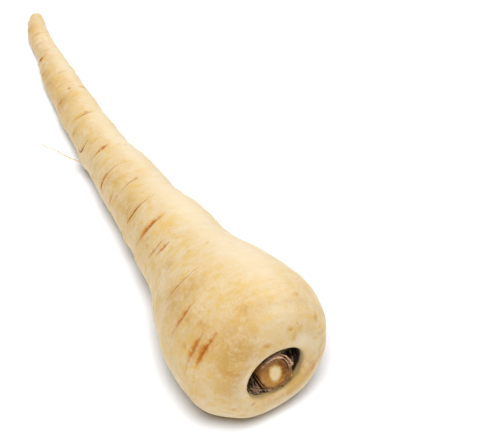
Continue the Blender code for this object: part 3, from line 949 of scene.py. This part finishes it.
class StageSettings(bpy.types.PropertyGroup):
    """The camera, the lights and the floor."""

    azimuth: FloatProperty(name="Azimuth", description="The camera's direction round the root",
                           subtype="ANGLE", unit="ROTATION", default=math.radians(61.46))
    elevation: FloatProperty(name="Elevation", description="The camera's height above the horizon",
                             subtype="ANGLE", unit="ROTATION", default=math.radians(51.80))
    distance: FloatProperty(name="Distance", description="From the camera to the point it looks at",
                            unit="LENGTH", default=0.6576)
    aim: FloatVectorProperty(name="Aim", description="The point that the camera looks at", subtype="XYZ",
                             unit="LENGTH", default=(0.06675, 0.01931, 0.05702))
    lens: FloatProperty(name="Lens", description="The camera's focal length in mm", default=124.9)
    brightness: FloatProperty(name="Brightness", description="Factor on the power of the lamps", default=0.98)
    lamp_distance: FloatProperty(name="Lamp distance", description="From the lamps to the point they light",
                                 unit="LENGTH", default=2.5)
    sky: FloatProperty(name="Surrounding light", description="Strength of the even light", default=0.06)
    floor: colour_setting("Floor", "The floor's colour", (0.84, 0.86, 0.90))
    floor_grain: colour_setting("Floor grain", "The colour of its faint grain", (0.7, 0.7, 0.7))


# ---------------------------------------------------------------- the studio

FLOOR_SIZE, FLOOR_HEIGHT = 8, -0.00005
SEEN_FROM, SEEN_TO = 0.01, 20  # the range of distances that the camera shows

# Lamps, all at one distance from the point they light: direction from it, brightness, width in degrees, and
# whether it lights the floor or the parsnip
LIT_POINT = (0.05, 0.0, 0.02)
LAMPS = [
    ("floor_light", (0.29, -0.14, 0.95), 12.5, 24, "floor"),
    ("key", (0.33, -0.17, 0.93), 3.1, 6, "parsnip"),
    ("key_right", (0.62, 0.15, 0.77), 3.35, 6, "parsnip"),
    ("side_left", (0.23, -0.7, 0.68), 3.1, 17, "parsnip"),
    ("back_left", (-0.72, -0.4, 0.57), 2.6, 30, "parsnip"),
    ("back", (-0.74, 0.4, 0.55), 3, 53, "parsnip"),
    ("back_right", (-0.34, 0.83, 0.44), 5.2, 53, "parsnip"),
]


def make_floor(settings):
    """A wide floor, just under the root."""
    bpy.ops.mesh.primitive_plane_add(size=FLOOR_SIZE, location=(0, 0, FLOOR_HEIGHT))
    floor = bpy.context.object
    floor.name = "floor"
    floor.data.materials.append(floor_material(settings))
    return floor


def make_world(settings):
    """Weak even light from all round, which the camera itself sees as full white."""
    world = bpy.data.worlds.new("even_light")
    world.use_nodes = True
    background = world.node_tree.nodes["Background"]
    background.inputs["Color"].default_value = (1, 1, 1, 1)
    seen = add_node(world.node_tree, "LightPath").outputs["Is Camera Ray"]
    strength = ramp(world.node_tree, seen, 0, 1, 1, settings.sky)
    world.node_tree.links.new(strength, background.inputs["Strength"])
    bpy.context.scene.world = world


def make_lamps(settings, floor):
    """The lamps. The floor's lamp is a sun with a wide disk, and lights nothing else. The others are round
    areas, whose power grows with the square of their distance, and light everything else."""
    lit = {}
    for target, state in (("floor", "INCLUDE"), ("parsnip", "EXCLUDE")):
        lit[target] = bpy.data.collections.new("lit_" + target)
        lit[target].objects.link(floor)
        lit[target].collection_objects[0].light_linking.link_state = state
    for name, away, power, width, target in LAMPS:
        lamp = bpy.data.lights.new(name, "SUN" if target == "floor" else "AREA")
        if target == "floor":
            lamp.angle = math.radians(width)
            lamp.energy = settings.brightness * power / math.pi
        else:
            lamp.shape = "DISK"
            lamp.size = 2 * settings.lamp_distance * math.tan(math.radians(width) / 2)
            lamp.energy = settings.brightness * power * settings.lamp_distance**2
        made = bpy.data.objects.new(name, lamp)
        made.location = Vector(LIT_POINT) + settings.lamp_distance * Vector(away).normalized()
        made.rotation_euler = Vector(away).to_track_quat("Z", "Y").to_euler()
        made.light_linking.receiver_collection = lit[target]
        bpy.context.scene.collection.objects.link(made)


def make_camera(settings):
    """The camera, turned round the point it looks at by the azimuth and raised by the elevation."""
    lens = bpy.data.cameras.new("camera")
    lens.lens = settings.lens
    lens.clip_start, lens.clip_end = SEEN_FROM, SEEN_TO
    camera = bpy.data.objects.new("camera", lens)
    azimuth, elevation = settings.azimuth, settings.elevation
    level = math.cos(elevation)
    back = Vector((math.sin(azimuth) * level, -math.cos(azimuth) * level, math.sin(elevation)))
    camera.location = Vector(settings.aim) + back * settings.distance
    camera.rotation_euler = (-back).to_track_quat("-Z", "Y").to_euler()
    bpy.context.scene.collection.objects.link(camera)
    bpy.context.scene.camera = camera


# ---------------------------------------------------------------- operators


class PARSNIP_OT_skin(bpy.types.Operator):
    """Make the taproot's skin"""

    bl_idname = "parsnip.skin"
    bl_label = "Taproot skin"

    def execute(self, context):
        look = skin_material(context.scene.parsnip_colours)
        place(make_skin_mesh(context.scene.parsnip_skin), look, "skin", "root")
        return {"FINISHED"}


class PARSNIP_OT_leaf_bases(bpy.types.Operator):
    """Make the dried leaf bases round the crown's hollow"""

    bl_idname = "parsnip.leaf_bases"
    bl_label = "Leaf bases"

    def execute(self, context):
        look = leaf_material(context.scene.parsnip_colours)
        shift = root_shift(context.scene.parsnip_skin)
        for order, (name, rows) in enumerate(LEAF_BASES.items()):
            seed = SCALE_SEEDS[0] + SCALE_SEEDS[1] * order
            scales = [dried_scale(*row, seed + SCALE_SEEDS[2] * k) for k, row in enumerate(rows)]
            place(make_mesh(name + "_scales", scales, shift), look, "dried_leaf", name)
        return {"FINISHED"}


class PARSNIP_OT_stalk(bpy.types.Operator):
    """Make the cut stalk and the torn sheath round it"""

    bl_idname = "parsnip.stalk"
    bl_label = "Cut stalk"

    def execute(self, context):
        colours = context.scene.parsnip_colours
        shift = root_shift(context.scene.parsnip_skin)
        stub = make_mesh("stalk_stub_cut", [cut_stalk()], shift)
        place(stub, stub_material(colours), "cut_stalk", "stalk_stub")
        sheath = make_mesh("stalk_sheath_torn", [torn_layer(*row) for row in SHEATH], shift)
        place(sheath, sheath_material(colours), "dried_leaf", "stalk_sheath")
        return {"FINISHED"}


class PARSNIP_OT_rootlet(bpy.types.Operator):
    """Make the fine side root"""

    bl_idname = "parsnip.rootlet"
    bl_label = "Side root"

    def execute(self, context):
        data = make_mesh("side_root", [(side_root(), {})], root_shift(context.scene.parsnip_skin))
        place(data, rootlet_material(context.scene.parsnip_colours), "skin", "rootlet")
        return {"FINISHED"}


class PARSNIP_OT_stage(bpy.types.Operator):
    """Make the pale floor, the soft lights and the camera"""

    bl_idname = "parsnip.stage"
    bl_label = "Studio"

    def execute(self, context):
        settings = context.scene.parsnip_stage
        floor = make_floor(settings)
        make_world(settings)
        make_lamps(settings, floor)
        make_camera(settings)
        context.scene.view_settings.view_transform = "Standard"
        return {"FINISHED"}


class PARSNIP_PT_panel(bpy.types.Panel):
    """The parsnip's pieces and settings"""

    bl_label = "Parsnip"
    bl_idname = "PARSNIP_PT_panel"
    bl_space_type = "VIEW_3D"
    bl_region_type = "UI"
    bl_category = "Parsnip"

    def draw(self, context):
        for operator in OPERATORS:
            self.layout.operator(operator.bl_idname)
        for name in SETTINGS:
            group = getattr(context.scene, name)
            for key in group.bl_rna.properties.keys():
                if key not in ("rna_type", "name"):
                    self.layout.prop(group, key)


OPERATORS = (PARSNIP_OT_skin, PARSNIP_OT_leaf_bases, PARSNIP_OT_stalk, PARSNIP_OT_rootlet, PARSNIP_OT_stage)
SETTINGS = {"parsnip_skin": SkinSizes, "parsnip_colours": ParsnipColours, "parsnip_stage": StageSettings}


def register():
    """Makes the operators, the panel and the scene's settings known to Blender."""
    for made in (*SETTINGS.values(), *OPERATORS, PARSNIP_PT_panel):
        bpy.utils.register_class(made)
    for name, group in SETTINGS.items():
        setattr(bpy.types.Scene, name, PointerProperty(type=group))


def unregister():
    """Takes them away again."""
    for name in SETTINGS:
        delattr(bpy.types.Scene, name)
    for made in (PARSNIP_PT_panel, *OPERATORS, *SETTINGS.values()):
        bpy.utils.unregister_class(made)


def main():
    """Makes every piece and the studio."""
    register()
    bpy.ops.parsnip.skin()
    bpy.ops.parsnip.leaf_bases()
    bpy.ops.parsnip.stalk()
    bpy.ops.parsnip.rootlet()
    bpy.ops.parsnip.stage()


if __name__ == "__main__":
    main()
